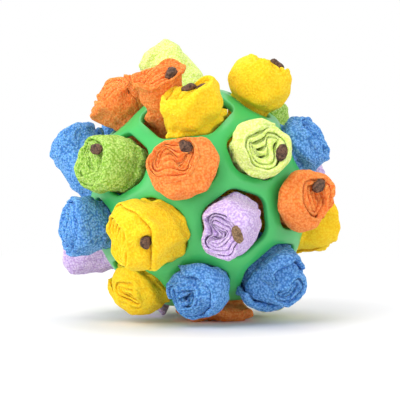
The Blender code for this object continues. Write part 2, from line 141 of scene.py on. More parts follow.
# Its mesh
STEP = 0.0009
INNER_STEP = 0.0013
FINE_TURNS = 1.15
INNER_STRIDE = 0.25
TAIL_RIM_STEPS = 2
RIM_STEPS = 5
RIM_HEIGHT_SHARE = 1.6
TAIL_ROWS = 5
NECK_ROWS = 11
HEAD_ROWS = 16
END_DROP = 0.0020
CORE_STEPS = 64
RAY_COUNT = 64
RAYS = [(math.cos(math.tau * i / RAY_COUNT), math.sin(math.tau * i / RAY_COUNT))
        for i in range(RAY_COUNT)]
Z_AXIS = Vector((0.0, 0.0, 1.0))

# Random draws: each piece adds its number to the seed. A wave is a seed, a length and a height.
STRIP_SEED = 100
OUTLINE_SEED = 900
RISE_WAVE = (300, 0.0120, 0.00070)
WIDE_WAVE = (500, 0.0220, 0.00060)
CREASE_WAVE = (700, 0.0085, 0.00030)
WARP_WAVE = (1100, 0.95, 1.0)
TREAT_LUMPS = ((40, 0.0046, 0.00022), (60, 0.0014, 0.00006))
WAVES = 14
WAVE_SPREAD = (0.7, 1.3)

# Clumps of pile, which start where the cloth leaves the hole
CLUMP_SIZE = 0.0021
CLUMP_HEIGHT = 0.00042
CLUMP_CREST = 0.5
CLUMP_FALL = 1.4
PILE_START = 0.0010
PILE_RISE = 0.0060
LEAST_WEIGHT = 0.05
FREE_WEIGHT = 0.999
RUBBER_REACH = 0.0030

# Looks: grains as size, detail and roughness, then ramps, bumps, colours and shaders
LOOP_SIZE = 0.0012
FIBRES = (0.0010, 3.0, 0.7)
PATCHES = (0.012, 2.0)
FLOW_MARKS = (0.018, 3.0)
RUBBER_GRAIN = (0.0006, 2.0)
SPECKS = (0.0013, 3.0, 0.7)
# How wide the ramp is from the painted shade in the pile's gaps to the painted highlight on its tips
TIP_SPREAD = 0.16
LEAST_PILE = 0.4
SOFT_STOPS = (0.30, 0.70)
SPECK_STOPS = (0.40, 0.62)
WORN = ((0.94, 0.94, 0.94), (1.0, 1.0, 1.0))
FLOW_SHARE = 0.90
GRAIN_SHARE = 0.15
PILE_BUMP = 0.0016
RUBBER_BUMP = (0.00035, 0.6)
TREAT_BUMP = 0.0010
GREEN_RUBBER = (0.055, 0.52, 0.125)
TAN_KIBBLE = ((0.10, 0.055, 0.022), (0.33, 0.20, 0.10))
BROWN_KIBBLE = ((0.034, 0.015, 0.008), (0.19, 0.092, 0.052))
FLEECE_SHADER = {"Roughness": 0.95, "Sheen Weight": 0.04, "Sheen Roughness": 0.6,
                 "Specular IOR Level": 0.1, "Subsurface Weight": 0.35,
                 "Subsurface Scale": 0.0030}
RUBBER_SHADER = {"Roughness": 0.33, "Specular IOR Level": 0.5}
TREAT_SHADER = {"Roughness": 0.75}
BACKDROP_SHADER = {"Roughness": 0.9, "Base Color": (0.86, 0.86, 0.87, 1.0)}


@dataclass(frozen=True)
class Fleece:
    """A kind of fleece: its slot, its colour with painted shade for the gaps, its colour with a
    painted highlight for the tips, and its pile.
    """

    slot: str
    # The colour with painted shade, for the gaps between the pile's clumps
    deep: tuple
    # The colour with a painted highlight, for the tips of the clumps
    tip: tuple
    pile: float


# Each fleece: its slot, its colour with painted shade for the gaps, its colour with a painted
# highlight for the tips, and its pile
FLEECES = [
    Fleece("fleece_orange", (0.88, 0.195, 0.034), (1.0, 0.365, 0.100), 0.7),
    Fleece("fleece_yellow", (0.92, 0.54, 0.010), (1.0, 0.72, 0.038), 0.5),
    Fleece("fleece_green", (0.27, 0.50, 0.055), (0.57, 0.81, 0.21), 1.1),
    Fleece("fleece_lime", (0.65, 0.83, 0.175), (0.86, 0.97, 0.39), 0.7),
    Fleece("fleece_blue", (0.060, 0.22, 0.58), (0.21, 0.49, 0.92), 1.0),
    Fleece("fleece_lavender", (0.53, 0.36, 0.70), (0.79, 0.65, 0.92), 0.9),
]


@dataclass
class Roll:
    """One rolled strip: its body, close to the CAD's, and how its folds lie at its end.

    A single share stands for a body's width and height. The folds wind round a core line,
    whose points are shares of the roll's radius, turned by the core's angle. The end closes to
    a share of its width, off the roll's middle by the shift. A cuff cuts the outer lap lower,
    and a flap lifts it. The rim rises by the slant's height on the side of the slant's angle.
    """

    name: str
    azimuth: float
    elevation: float
    phase: float
    lean_shares: tuple = (0.0, 0.0)
    length_share: float = 1.0
    end_shares: float | tuple = 1.0
    bulge_shares: float | tuple = 1.0
    waist_shares: float | tuple = 1.0
    offset_shares: tuple = (0.0, 0.0)
    winding: int = 1
    recess: float = 0.0
    side_angle: float = None
    stands: bool = False
    end_down: bool = False
    core: tuple = ((0.32, 0.0), (-0.32, 0.0))
    core_angle: float = 0.0
    swirl: float = 0.3
    turn_share: float = 0.25
    warp: float = 0.035
    close: float = 0.82
    shoulder: float = 2.4
    shift: tuple = (0.0, 0.0)
    outline: tuple = (1.0,)
    cuff: float = 0.0
    cuff_turns: float = 0.85
    flap: float = 0.0
    ruffle: float = 1.0
    slant: tuple = (0.0, 0.0)

    @property
    def colour(self):
        """The fleece that the first word of the name tells."""
        slot = "fleece_" + self.name.split("_")[0]
        return next(fleece for fleece in FLEECES if fleece.slot == slot)


ROLLS = [
    Roll("orange_front", -6, 17, 135, (-0.14, 0.05), 0.85, (1.04, 1), (1.06, 1.02), recess=-0.06,
         core=((-0.5, -0.06), (-0.3, 0.34), (0.06, -0.36), (0.44, 0.3)), swirl=0, turn_share=0.21,
         close=0.84, shoulder=2.3, shift=(-0.22, 0.16), slant=(-40, 0.0018)),
    Roll("lavender_front", 18, -12, 225, (-0.66, 0.04), 0.9, 0.9, 0.9, 0.86, (-0.13, 0), recess=-0.06,
         core=((-0.4, 0.3), (0.2, 0.14), (0.16, -0.14), (-0.26, -0.16), (-0.6, -0.34)), swirl=0.4,
         turn_share=0.2, close=0.86, shoulder=2.2, shift=(-0.04, -0.16),
         outline=(1, 1.04, 1, 0.97, 1, 1.05, 0.98, 0.98), slant=(20, 0.0035)),
    Roll("lime_right", 32, 28, 60, (-0.52, -0.38), 0.85, 0.93, 0.93, 0.9, (-0.06, -0.06),
         recess=-0.07, core=((-0.46, 0.2), (-0.32, -0.26), (0.02, -0.22), (0.04, 0.26), (0.4, 0.34)),
         swirl=0, turn_share=0.29, close=0.86, shift=(0.14, -0.06),
         outline=(1.12, 1, 1, 1, 1, 1, 1.05, 1.18), slant=(160, 0.0015)),
    Roll("yellow_left", -25, -16, -88, (-0.46, 0.04), 1, 1.04, 1.08,
         core=((0, -0.46), (-0.06, 0), (0.05, 0.38)), turn_share=0.17, warp=0.02, close=0.96,
         shoulder=3.2, shift=(-0.06, -0.06), outline=(1.13, 1.05, 1, 1, 1, 1, 1, 1.04), cuff=0.45,
         cuff_turns=0.95, ruffle=0.4, slant=(10, 0.005)),
    Roll("green_left", -46, 20, 120, (-0.06, -0.22), 1, 0.98, recess=-0.06, core_angle=100,
         turn_share=0.21, close=0.8, shift=(-0.24, 0.04), cuff=0.3, cuff_turns=0.95, ruffle=0.5,
         slant=(-18, 0.003)),
    Roll("yellow_top", -12, 54, 150, (-0.25, 0), 0.9, (0.9, 1.06), (0.76, 1), (0.46, 0.8),
         recess=-0.05, side_angle=-50, core_angle=90, close=0.92, shoulder=3.5,
         outline=(1, 1, 1.04, 1.1, 1.08, 1, 1, 1), slant=(130, 0.0038)),
    Roll("orange_top", -12, 54, 60, (0.04, 0.08), 1.15, (0.72, 1), (0.55, 0.8), (0.42, 0.48),
         (0, 0.3), recess=-0.05, side_angle=130, core_angle=90, warp=0.05, close=1.12, shoulder=3.5,
         ruffle=1.5, slant=(-60, -0.002)),
    Roll("orange_top_left", -75, 50, 30, (0.02, -0.04), 1, 0.93, 0.95,
         core=((0.45, 0.1), (0, -0.1), (-0.45, 0.1)), core_angle=20, warp=0.05, close=1, shoulder=5,
         ruffle=1.2, slant=(-30, -0.004)),
    Roll("lime_top", -140, 82, 200, (0.36, -0.44), 1.4, 0.92, 0.88, 0.92, core_angle=40, close=1.02,
         shoulder=7, outline=(1, 1.05, 1, 0.96, 1, 1.05, 1, 0.97), ruffle=0.25),
    Roll("yellow_top_right", 59, 60, 70, (-0.42, -0.14), 1.1, 1, 0.98, core_angle=30, close=0.84,
         shoulder=2.8, shift=(0.24, 0.12), outline=(1.08, 1.03, 1, 1, 1, 1, 1, 1.04), ruffle=1.8,
         slant=(-152, 0.0085)),
    Roll("blue_right", 80, 26, 20, (-0.4, 0.1), 0.62, 0.96, 0.96, 0.95, core_angle=80, close=1.02,
         shoulder=9, shift=(0.3, 0), ruffle=0.3, slant=(-176, 0.005)),
    Roll("orange_right", 55, -3, -30, (-0.5, 0.14), 0.85, 1.02, 1.02, recess=-0.06, core_angle=85,
         turn_share=0.27, shift=(0.16, 0.08), slant=(180, 0.003)),
    Roll("blue_bottom", 2, -47, 130, (-0.5, 0.3), 0.72, winding=-1,
         core=((-0.34, 0.34), (-0.28, -0.26), (0.14, -0.32), (0.24, 0.26)), turn_share=0.28,
         close=0.8, shift=(-0.2, -0.12), cuff=0.32, cuff_turns=0.7, slant=(60, 0.0025)),
    Roll("blue_bottom_right", 53, -40, 215, (-0.5, 0.34), 0.8, 1.06, 1.06, core_angle=25, close=0.74,
         shoulder=2.8, shift=(0.3, -0.24), outline=(1.05, 0.98, 1, 1, 1, 1.08, 1, 1.08), cuff=0.44,
         cuff_turns=0.8, flap=0.1, slant=(154, 0.007)),
    Roll("yellow_bottom_left", -56, -50, 140, (0.36, 0.44), 0.62, 0.94, 0.94,
         core=((-0.36, 0.4), (0, 0.05), (0.15, -0.35)), turn_share=0.28, close=0.84, shoulder=2.6,
         cuff=0.08, cuff_turns=0.6, slant=(27, 0.0025)),
    Roll("blue_left", -63, -13, 200, (0.14, 0.2), 1.04, 0.9, 0.9, core_angle=70, turn_share=0.22,
         close=1, shoulder=8, shift=(-0.2, 0), cuff=0.36, cuff_turns=1, ruffle=0.4,
         slant=(0, 0.0028)),
    Roll("lavender_bottom_left", -100, -26, 0, (-0.2, 0.3), 1.02, 0.98, 0.98, core_angle=30,
         close=1.06, shoulder=8, ruffle=0.3, slant=(0, 0.003)),
    Roll("blue_left_back", -89, 14, 80, (-0.34, 0.82), 0.92, 0.98, 0.98, core_angle=120, close=1.06,
         shoulder=10, ruffle=0.25, slant=(0, 0.0035)),
    Roll("orange_bottom", 40, -82, 150, (0.6, 0.6), 0.4, 1.08, (1.3, 1.24), stands=True,
         end_down=True, core_angle=10, close=0.66, shoulder=1.4, ruffle=0.4),
    Roll("yellow_right", 91, -14, 260, (0.14, 0.5), 0.64, 1, 1.02, core_angle=55, close=1.06,
         shoulder=8, ruffle=0.3, slant=(180, 0.003)),
    Roll("lavender_bottom", -121, -60, 10, (0.3, 0), 0.6, 0.94, 0.76, stands=True, core_angle=75,
         close=0.9, shoulder=3.5),
    Roll("lavender_right_back", 117, 13, 310, (-0.1, 0.05), 0.85, 0.9, 0.9, core_angle=130, close=1,
         shoulder=6, flap=0.06),
    Roll("yellow_left_back", -125, 3, 330, (0.1, 0.05), 0.85, 0.9, 0.9, core_angle=160, close=1,
         shoulder=6, cuff=0.12),
    Roll("lime_bottom_back", 105, -50, 220, (0, 0.05), 0.8, 0.9, 0.9, stands=True, core_angle=20,
         close=0.9, shoulder=3.5),
    Roll("orange_back_bottom", 168, -54, 100, (0.05, 0), 0.7, 0.96, 0.98, stands=True, core_angle=65,
         close=0.9, shoulder=3.5),
    Roll("blue_top_left_back", -127, 40, 15, (0.15, 0.1), 0.95, 0.96, winding=-1,
         core=((0.38, 0.26), (0, -0.2), (-0.4, 0.2)), core_angle=110, turn_share=0.28,
         shift=(0.15, 0.1)),
    Roll("green_top_right_back", 124, 50, 75, (0.22, 0), 0.8, 0.96, core_angle=150,
         shift=(-0.12, 0.12), cuff=0.16),
    Roll("lavender_top_back", -178, 46, 145, (0, -0.05), 0.9, 0.92, 0.92, recess=-0.06,
         core=((-0.42, 0.26), (0.1, 0.18), (0.05, -0.28), (-0.42, -0.3)), core_angle=15,
         turn_share=0.27, close=0.84, shoulder=3.5, ruffle=1.5),
    Roll("orange_left_back", -162, 12, 40, (0.1, 0.12), 1, 0.98, recess=-0.06,
         core=((-0.38, 0.32), (0.08, -0.28), (0.44, 0.22)), turn_share=0.27, shift=(0.2, 0.1)),
    Roll("yellow_back_right", 155, 16, -45, (-0.12, 0.12), 1, 1, 1.04, recess=-0.06,
         core=((0, -0.44), (0.1, 0), (-0.1, 0.4)), close=0.84, shift=(-0.18, 0.08), cuff=0.22),
    Roll("green_left_back", -148, -28, 325, (-0.08, 0.1), 0.95, 0.98, core_angle=140,
         shift=(0.12, -0.12)),
    Roll("lime_back", 174, -17, 35, (0.08, 0), 0.9, 0.92, 0.92, winding=-1,
         core=((0.44, -0.22), (0.3, 0.24), (0, 0.15), (-0.1, -0.28), (-0.42, -0.32)), swirl=0,
         turn_share=0.29, close=0.84),
    Roll("blue_right_back", 134, -20, 95, (0.12, 0.08), 0.95, 0.98, core_angle=50, close=0.7,
         shift=(0.15, 0), cuff=0.15, flap=0.08),
]

# Treats: how deep each is pushed into its roll, and how the cloth keeps off it
TREAT_SINK = 0.0018
OWN_SINKS = {"yellow_top_right": 0.0032, "yellow_top_a": 0.0026, "yellow_top_b": 0.0012,
             "orange_right": 0.0030, "green_left": -0.0010, "orange_top": 0.0032,
             "lime_right": 0.0030, "yellow_left": 0.0010, "lavender_front": -0.0016,
             "orange_front": 0.0034}
OWN_SHIFTS = {"yellow_left": (0.0, 0.0032, 0.0)}
OWN_TURNS = {"orange_front": -50.0, "orange_right": 40.0}
TREAT_CLEAR = 0.00025
LEAST_LENGTH = 0.05
TAN_TREATS = ("kibble_lavender_front",)

# Camera, as far off as the photograph's perspective asks
CAMERA_DISTANCE = 0.6
SENSOR = 36.0
PHOTO_WIDTH = 400.0
BALL_PIXELS = 110.6
CAMERA_DROP = 0.00065

# Studio: the backdrop's profile, how far from the ball it turns white, and the lamps
FLOOR_FRONT = -1.6
CURVE_START = 0.9
CURVE_RADIUS = 0.7
CURVE_STEPS = 8
BACKDROP_HEIGHT = 2.6
BACKDROP_SIDE = 2.6
WHITE_FROM = 0.25
WHITE_TO = 0.75
WHITE = (1.0, 1.0, 1.0, 1.0)
WORLD_STRENGTH = 0.75
LAMP_SIZE = 0.9
LAMPS = {"key": ((-0.55, -0.95, 1.05), 10.5), "fill": ((0.95, -0.75, 0.45), 3.5),
         "side": ((-1.05, -0.55, 0.10), 7.5), "top": ((0.0, 0.25, 1.25), 5.0)}


def direction(azimuth, elevation):
    """A unit vector from the ball's centre. Azimuth 0 is the front and grows towards +X."""
    a = math.radians(azimuth)
    e = math.radians(elevation)
    return Vector((math.sin(a) * math.cos(e), -math.cos(a) * math.cos(e), math.sin(e)))


def frame_about(axis):
    """A frame of right, up and out along a hole's axis."""
    right = Z_AXIS.cross(axis).normalized()
    return Matrix((right, axis.cross(right), axis)).transposed()


def smooth_step(x):
    """0 to 1 with level ends."""
    x = np.clip(x, 0.0, 1.0)
    return x * x * (3 - 2 * x)


def ease(x):
    """0 to 1, slow at both ends."""
    return (1 - np.cos(np.pi * np.clip(x, 0.0, 1.0))) / 2


def blend(a, b, share):
    """From a to b by a share."""
    return a + (b - a) * share


def lengths(rows):
    """The length of every row, as a column."""
    return np.linalg.norm(rows, axis=1, keepdims=True)


# The lattice, from the same sizes as in the CAD
def lattice_cells():
    """The ball's 32 cells, each as its corners on the sphere in order."""
    cage = bmesh.new()
    bmesh.ops.create_icosphere(cage, subdivisions=1, radius=BALL_RADIUS)
    bmesh.ops.bevel(cage, geom=cage.verts[:], offset=CUT_PERCENT, offset_type="PERCENT",
                    affect="VERTICES", segments=1, profile=0.5)
    pose = frame_about(direction(*FRONT_CELL))
    pose = pose @ Matrix.Rotation(math.radians(LATTICE_SPIN), 3, "Z")
    shared = direction(*SHARED_CELL)
    shared = min((pose @ face.calc_center_median() for face in cage.faces),
                 key=lambda c: c.angle(shared)).normalized()
    for vert in cage.verts:
        vert.co = pushed_apart((pose @ vert.co).normalized(), shared) * BALL_RADIUS
    cells = [[v.co.copy() for v in face.verts] for face in cage.faces]
    cage.free()
    return cells


def pushed_apart(point, hole):
    """Moves a point of the sphere away from the hole that two rolls stretch."""
    away = math.degrees(point.angle(hole))
    push = STRETCH_ANGLE * math.exp(-((away - STRETCH_PEAK) / STRETCH_SPREAD) ** 2)
    return Matrix.Rotation(math.radians(push), 3, hole.cross(point)) @ point


@dataclass
class Hole:
    """A hole of the lattice: its frame, its cell's corners, its corner arcs on the plane that
    touches the ball, and its inner radius as an angle."""

    frame: Matrix
    corners: list
    arcs: list
    angle: float

    def ring(self, grow, height):
        """The hole's outline, wider by grow, on the sphere of the given radius."""
        points = []
        for centre, start, turn, fillet in self.arcs:
            for step in range(ARC_POINTS):
                ray = Matrix.Rotation(-turn * step / (ARC_POINTS - 1), 2) @ start
                flat = centre + ray * (fillet + grow)
                ray = self.frame @ Vector((flat.x, flat.y, BALL_RADIUS))
                points.append(ray.normalized() * height)
        return points


def hole_in(cell):
    """The round-cornered hole that leaves half a strut's width all round the cell."""
    axis = sum(cell, Vector()).normalized()
    place = frame_about(axis)
    flat = []
    for corner in cell:
        local = place.transposed() @ corner
        flat.append(local.xy * (BALL_RADIUS / local.z))
    if sum(a.cross(b) for a, b in zip(flat, flat[1:] + flat[:1])) < 0:
        flat.reverse()
        cell = cell[::-1]
    lines = []
    for start, end in zip(flat, flat[1:] + flat[:1]):
        normal = Vector((end.y - start.y, start.x - end.x)).normalized()
        edge = math.atan(normal.dot(start) / BALL_RADIUS)
        lines.append((normal, BALL_RADIUS * math.tan(edge - STRUT_WIDTH / 2 / BALL_RADIUS)))
    arcs = []
    for (n0, d0), (n1, d1) in zip(lines[-1:] + lines[:-1], lines):
        fillet = min(HOLE_FILLET, ROUNDEST_SHARE * min(d0, d1))
        centre = line_crossing(n0, d0 - fillet, n1, d1 - fillet)
        arcs.append((centre, n0, n0.angle_signed(n1), fillet))
    inner = min(distance for _, distance in lines)
    return Hole(place, cell, arcs, math.atan(inner / BALL_RADIUS))


def line_crossing(n0, d0, n1, d1):
    """Where the lines n0.p = d0 and n1.p = d1 cross."""
    cross = n0.x * n1.y - n0.y * n1.x
    return Vector(((d0 * n1.y - d1 * n0.y) / cross, (n0.x * d1 - n1.x * d0) / cross))


def cell_border(corners):
    """The strut centre lines round a cell, with a point for each of the hole's outline."""
    border = []
    for before, corner, after in zip(corners[-1:] + corners, corners, corners[1:] + corners[:1]):
        border += [corner.lerp(before, share).normalized() for share in EDGE_SHARES[:0:-1]]
        border += [corner.lerp(after, share).normalized() for share in EDGE_SHARES]
    return border


def lattice_ball(holes):
    """The moulded ball, with crowned struts and fully rounded rims."""
    shell = bmesh.new()
    crown = BALL_RADIUS - STRUT_CROWN
    crest = crown + STRUT_CROWN * CREST_SHARE
    inside = BALL_RADIUS - WALL
    for hole in holes:
        border = cell_border(hole.corners)
        rim = hole.ring(RIM_ROUND, crown)
        rings = [[ray * BALL_RADIUS for ray in border]]
        rings.append([(a.normalized() + b.normalized()).normalized() * crest
                      for a, b in zip(rings[0], rim)])
        for turn in RIM_TURNS:
            t = math.radians(turn)
            rings.append(hole.ring(RIM_ROUND * (1 - math.sin(t)),
                                   crown - RIM_ROUND * (1 - math.cos(t))))
        rings.append(hole.ring(0.0, inside + INNER_ROUND))
        rings.append(hole.ring(INNER_ROUND, inside))
        rings.append([ray * inside for ray in border])
        rows = [[shell.verts.new(point) for point in ring] for ring in rings]
        for row, above in zip(rows, rows[1:]):
            for corners in zip(row, row[1:] + row[:1], above[1:] + above[:1], above):
                shell.faces.new(corners)
    bmesh.ops.remove_doubles(shell, verts=shell.verts, dist=MERGE)
    bmesh.ops.recalc_face_normals(shell, faces=shell.faces)
    bmesh.ops.translate(shell, vec=BALL_CENTRE, verts=shell.verts)
    return show(mesh_of(shell, "lattice_ball"), rubber())


# Waves that bend the cloth
def wave_field(wave, number, strength=1.0, shape=3):
    """A piece's own random waves in all directions, as a function of points."""
    seed, wavelength, height = wave
    chance = np.random.default_rng(seed + number)
    ways = chance.normal(size=(WAVES, 3))
    ways *= math.tau / wavelength / lengths(ways)
    ways *= chance.uniform(*WAVE_SPREAD, size=(WAVES, 1))
    starts = chance.uniform(0, math.tau, WAVES)
    sizes = chance.normal(size=(WAVES, shape)) * (height * strength) / math.sqrt(WAVES / 2)
    return lambda points: np.sin(points @ ways.T + starts) @ sizes


# The wound strip
def turn_depths(turns, turn_share):
    """The share of the radius that the strip's outer face has after so many turns."""
    whole = np.floor(turns)
    dive = smooth_step((turns - whole - ROUND_SHARE) / (1 - ROUND_SHARE))
    return 1 - turn_share * (whole + dive)


def strip_path(radius, turn_share):
    """Turns along the strip, closer together where more of it shows."""
    turns = [0.0]
    depth = 1.0
    while depth > LAST_SHARE:
        step = STEP if turns[-1] < FINE_TURNS else INNER_STEP
        stride = INNER_STRIDE + (1 - INNER_STRIDE) * depth
        turns.append(turns[-1] + step / (math.tau * radius * stride))
        depth = float(turn_depths(turns[-1], turn_share))
    return np.array(turns)


def around(angle, shares):
    """The shares before and after each angle of a circle, and how far it is between them."""
    place = np.mod(angle / math.tau, 1.0) * len(shares)
    low = np.floor(place).astype(int) % len(shares)
    return shares[low], np.roll(shares, -1)[low], place % 1.0


def outline_shares(angle, shares, chance):
    """How far a roll's outline stands out each way: its own shares and a little chance."""
    before, after, share = around(angle, np.array(shares))
    found = blend(before, after, smooth_step(share))
    for order in OUTLINE_ORDERS:
        found = found + chance.normal() * OUTLINE_SHARE / 2 * np.cos(
            order * angle + chance.uniform(0, math.tau))
    return found


def core_line(points):
    """A smooth line through the core's points, as evenly spaced samples."""
    points = np.array(points)
    ends = (2 * points[0] - points[1], 2 * points[-1] - points[-2])
    knots = np.vstack((ends[0], points, ends[1]))
    t = np.linspace(0.0, len(points) - 1.0, CORE_STEPS)
    i = np.minimum(t.astype(int), len(points) - 2)
    f = (t - i)[:, None]
    a, b, c, d = (knots[i + k] for k in range(4))
    return 0.5 * (2 * b + (c - a) * f + (2 * a - 5 * b + 4 * c - d) * f ** 2
                  + (3 * b - a - 3 * c + d) * f ** 3)


class Folds:
    """How a roll's turns lie: rings that go over from its core line to its round outline."""

    def __init__(self, roll, number, turns):
        angle = math.radians(roll.phase) + roll.winding * turns * math.tau
        self.turns = turns
        self.angle = angle
        along = math.radians(roll.core_angle)
        spin = np.array(((math.cos(along), -math.sin(along)), (math.sin(along), math.cos(along))))
        line = core_line(roll.core) @ spin.T
        first, last = (math.atan2(y, x) for x, y in (line[0], line[-1]))
        back = (first - last) % math.tau
        to_first = np.mod(angle - last, math.tau) / back
        to_last = np.mod(angle - first, math.tau) / (math.tau - back)
        place = np.where(to_first < 1, 1 - ease(to_first), ease(to_last))
        steps = np.linspace(0.0, 1.0, len(line))
        self.start = np.stack([np.interp(place, steps, line[:, k]) for k in (0, 1)], axis=-1)
        chance = np.random.default_rng(OUTLINE_SEED + number)
        self.reach = outline_shares(angle, roll.outline, chance)
        self.end = np.stack((np.cos(angle), np.sin(angle)), axis=-1)
        self.length = np.linalg.norm(self.end - self.start, axis=1)
        self.swirl = roll.swirl
        self.warp = wave_field(WARP_WAVE, number, roll.warp, shape=2)

    def at(self, depths):
        """The points at the given shares of the way from the core line to the outline."""
        points = self.start + (self.end - self.start) * depths[:, None]
        inside = np.clip(1 - (points ** 2).sum(axis=1), 0.0, 1.0)
        turn = self.swirl * inside ** 2
        x, y = points.T
        points = np.stack((x * np.cos(turn) - y * np.sin(turn),
                           x * np.sin(turn) + y * np.cos(turn)), axis=-1)
        points = points + self.warp(np.column_stack((points, 0 * x))) * inside[:, None]
        return points * self.reach[:, None]


# Where a roll goes
@dataclass
class Station:
    """A cross-section of a roll: its centre, half width and height, and the way it faces."""

    centre: Vector
    halves: np.ndarray
    facing: Vector


def seat_of(hole):
    """Height and radius of the narrowest ring of a hole's rounded rim."""
    rim_radius = BALL_RADIUS - STRUT_CROWN - RIM_ROUND
    return rim_radius * math.cos(hole.angle), rim_radius * math.sin(hole.angle)


def roll_stations(roll, place, hole, head_length):
    """Tail, waist, bulge and end of a roll, in its own frame with the waist at zero."""
    seat_height, seat_radius = seat_of(hole)
    waist = (seat_radius - SEAT_GAP) * np.full(2, roll.waist_shares)
    offset = Vector((*roll.offset_shares, 0.0)) * seat_radius
    lean = Vector((*roll.lean_shares, 0.0)) * head_length
    tail = TAIL_REACH / seat_height
    bulge_centre = offset + lean * BULGE_LEAN_SHARE + Z_AXIS * (head_length * BULGE_SHARE)
    end_centre = offset + lean + Z_AXIS * head_length
    facing = (end_centre - bulge_centre).normalized()
    if roll.end_down:
        facing = place.transposed() @ Vector((0.0, 0.0, -1.0))
    stations = [
        Station(offset * tail + Z_AXIS * (TAIL_REACH - seat_height), waist * tail, Z_AXIS),
        Station(offset, waist, Z_AXIS),
        Station(bulge_centre, HEAD_RADIUS * np.full(2, roll.bulge_shares),
                (Z_AXIS + facing).normalized()),
        Station(end_centre, HEAD_RADIUS * END_SHARE * np.full(2, roll.end_shares), facing),
    ]
    if roll.side_angle is not None:
        for station in stations:
            station.centre.x += station.halves[0] + SEAT_GAP
    return stations


def lowest_point(station, place, seat):
    """The lowest height of a cross-section over the ball's centre."""
    tilt = Z_AXIS.rotation_difference(station.facing)
    edge = [tilt @ Vector((*(station.halves * ray), 0.0)) for ray in RAYS]
    return min((place @ (station.centre + point) + seat).z for point in edge)


def standing_length(roll, place, hole, seat):
    """The head length at which a standing roll just reaches the ground."""
    shortest = 0.0
    longest = HEAD_LENGTH * 2
    for _ in range(PRESS_STEPS):
        length = (shortest + longest) / 2
        end = roll_stations(roll, place, hole, length)[-1]
        if lowest_point(end, place, seat) < -BALL_CENTRE.z - PRESS_DEPTH:
            longest = length
        else:
            shortest = length
    return longest


@dataclass
class Row:
    """A ring of a roll, in the world's frame. Its axes go across it, up it and out."""

    centre: np.ndarray
    axes: list
    halves: np.ndarray
    from_seat: float


def roll_rows(roll, place, seat, stations):
    """Rings along a roll: straight inside the ball, and bulging out of the hole."""
    tail, waist, bulge, end = stations
    way = (end.centre - bulge.centre).normalized()
    tilt = Z_AXIS.rotation_difference(end.facing)
    shift = tilt @ Vector((*(end.halves * roll.shift), 0.0))
    last = end.centre - way * END_DROP
    rows = []
    for i in range(TAIL_ROWS):
        t = i / TAIL_ROWS
        rows.append((tail.centre.lerp(waist.centre, t), waist.facing,
                     blend(tail.halves, waist.halves, t)))
    rise = (bulge.centre - waist.centre).length
    reach = (last - bulge.centre).length
    start_way = waist.facing * rise
    middle_way = (last - waist.centre).normalized() * (rise + reach) / 2
    for i in range(NECK_ROWS):
        t = i / NECK_ROWS
        rows.append((hermite(waist.centre, start_way, bulge.centre, middle_way, t),
                     waist.facing.slerp(bulge.facing, t),
                     blend(waist.halves, bulge.halves, math.sin(math.pi / 2 * t))))
    for i in range(HEAD_ROWS + 1):
        turn = math.pi / 2 * i / HEAD_ROWS
        t = math.sin(turn) ** (2 / roll.shoulder)
        shrink = 1 - max(math.cos(turn), 0.0) ** (2 / roll.shoulder)
        rows.append((hermite(bulge.centre, middle_way, last, way * reach, t) + shift * shrink,
                     bulge.facing.slerp(end.facing, t),
                     blend(bulge.halves, end.halves * roll.close, shrink)))
    made = []
    for centre, facing, halves in rows:
        tilt = Z_AXIS.rotation_difference(facing)
        axes = [np.array(place @ (tilt @ Vector(axis))) for axis in np.eye(3)]
        made.append(Row(np.array(place @ centre + seat + BALL_CENTRE), axes, halves, centre.z))
    return made


def hermite(a, way_a, b, way_b, t):
    """A point of the smooth curve that leaves a along way_a and reaches b along way_b."""
    return (a * (1 + 2 * t) * (1 - t) ** 2 + way_a * t * (1 - t) ** 2
            + b * t * t * (3 - 2 * t) + way_b * t * t * (t - 1))


# The strip of a roll
def hole_limits(row, ball_tree, fill, one_sided):
    """How far a ring may reach each way, as a share of its half widths.

    It fills the hole up to the rubber, but doesn't grow towards a roll that shares the hole.
    """
    near = 1 - smooth_step(abs(row.from_seat + WALL / 2) / FILL_REACH)
    wish = 1 + (fill - 1) * near
    shares = []
    across, up, _ = row.axes
    for x, y in RAYS:
        nominal = 1 / math.hypot(x / row.halves[0], y / row.halves[1])
        found = ball_tree.ray_cast(Vector(row.centre), Vector(across * x + up * y))[3]
        free = math.inf if found is None else (found - HOLE_GAP) / nominal
        shares.append(min(1.0 if one_sided and x < 0 else wish, free))
    shares = np.array(shares)
    return np.minimum(shares, (np.roll(shares, 1) + np.roll(shares, -1)) / 2 + LIMIT_SLACK)


def limited(flat, row, shares):
    """The ring's points, drawn in where the hole's limits ask it."""
    x, y = (flat * row.halves).T
    before, after, share = around(np.arctan2(y, x), shares)
    return flat * (before * (1 - share) + after * share)[:, None]


def strip_faces(roll, folds, starts):
    """Depths of the strip's outer face, its inner one, and one that leaves no gap."""
    turns = folds.turns
    wave = sum(np.sin(turns * math.tau * THICK_WAVE * share + start)
               for share, start in zip(THICK_WAVE_SHARES, starts)) / 4 + 0.5
    from_end = np.minimum(turns, turns[-1] - turns) / TAPER_TURNS
    taper = np.sqrt(np.clip(1 - (1 - np.clip(from_end, 0.0, 1.0)) ** 2, BLUNT_SHARE, 1.0))
    most = THICKEST / (roll.turn_share * HEAD_RADIUS * folds.length)
    course = turn_depths(turns, roll.turn_share)
    sink = roll.turn_share * EDGE_SINK_SHARE * (1 - smooth_step(turns / EDGE_TURNS))
    lift = roll.flap * (1 - smooth_step(turns / FLAP_TURNS))
    faces = [course - (0 if roll.flap else sink) + lift]
    deepest = np.maximum(faces[0] - THINNEST_SHARE, INNERMOST_SHARE)
    for share in (blend(*THICK_SHARES, wave), 1.0):
        inner = course - roll.turn_share * np.minimum(share * taper, most) + lift
        faces.append(np.clip(inner, INNERMOST_SHARE, deepest))
    return faces


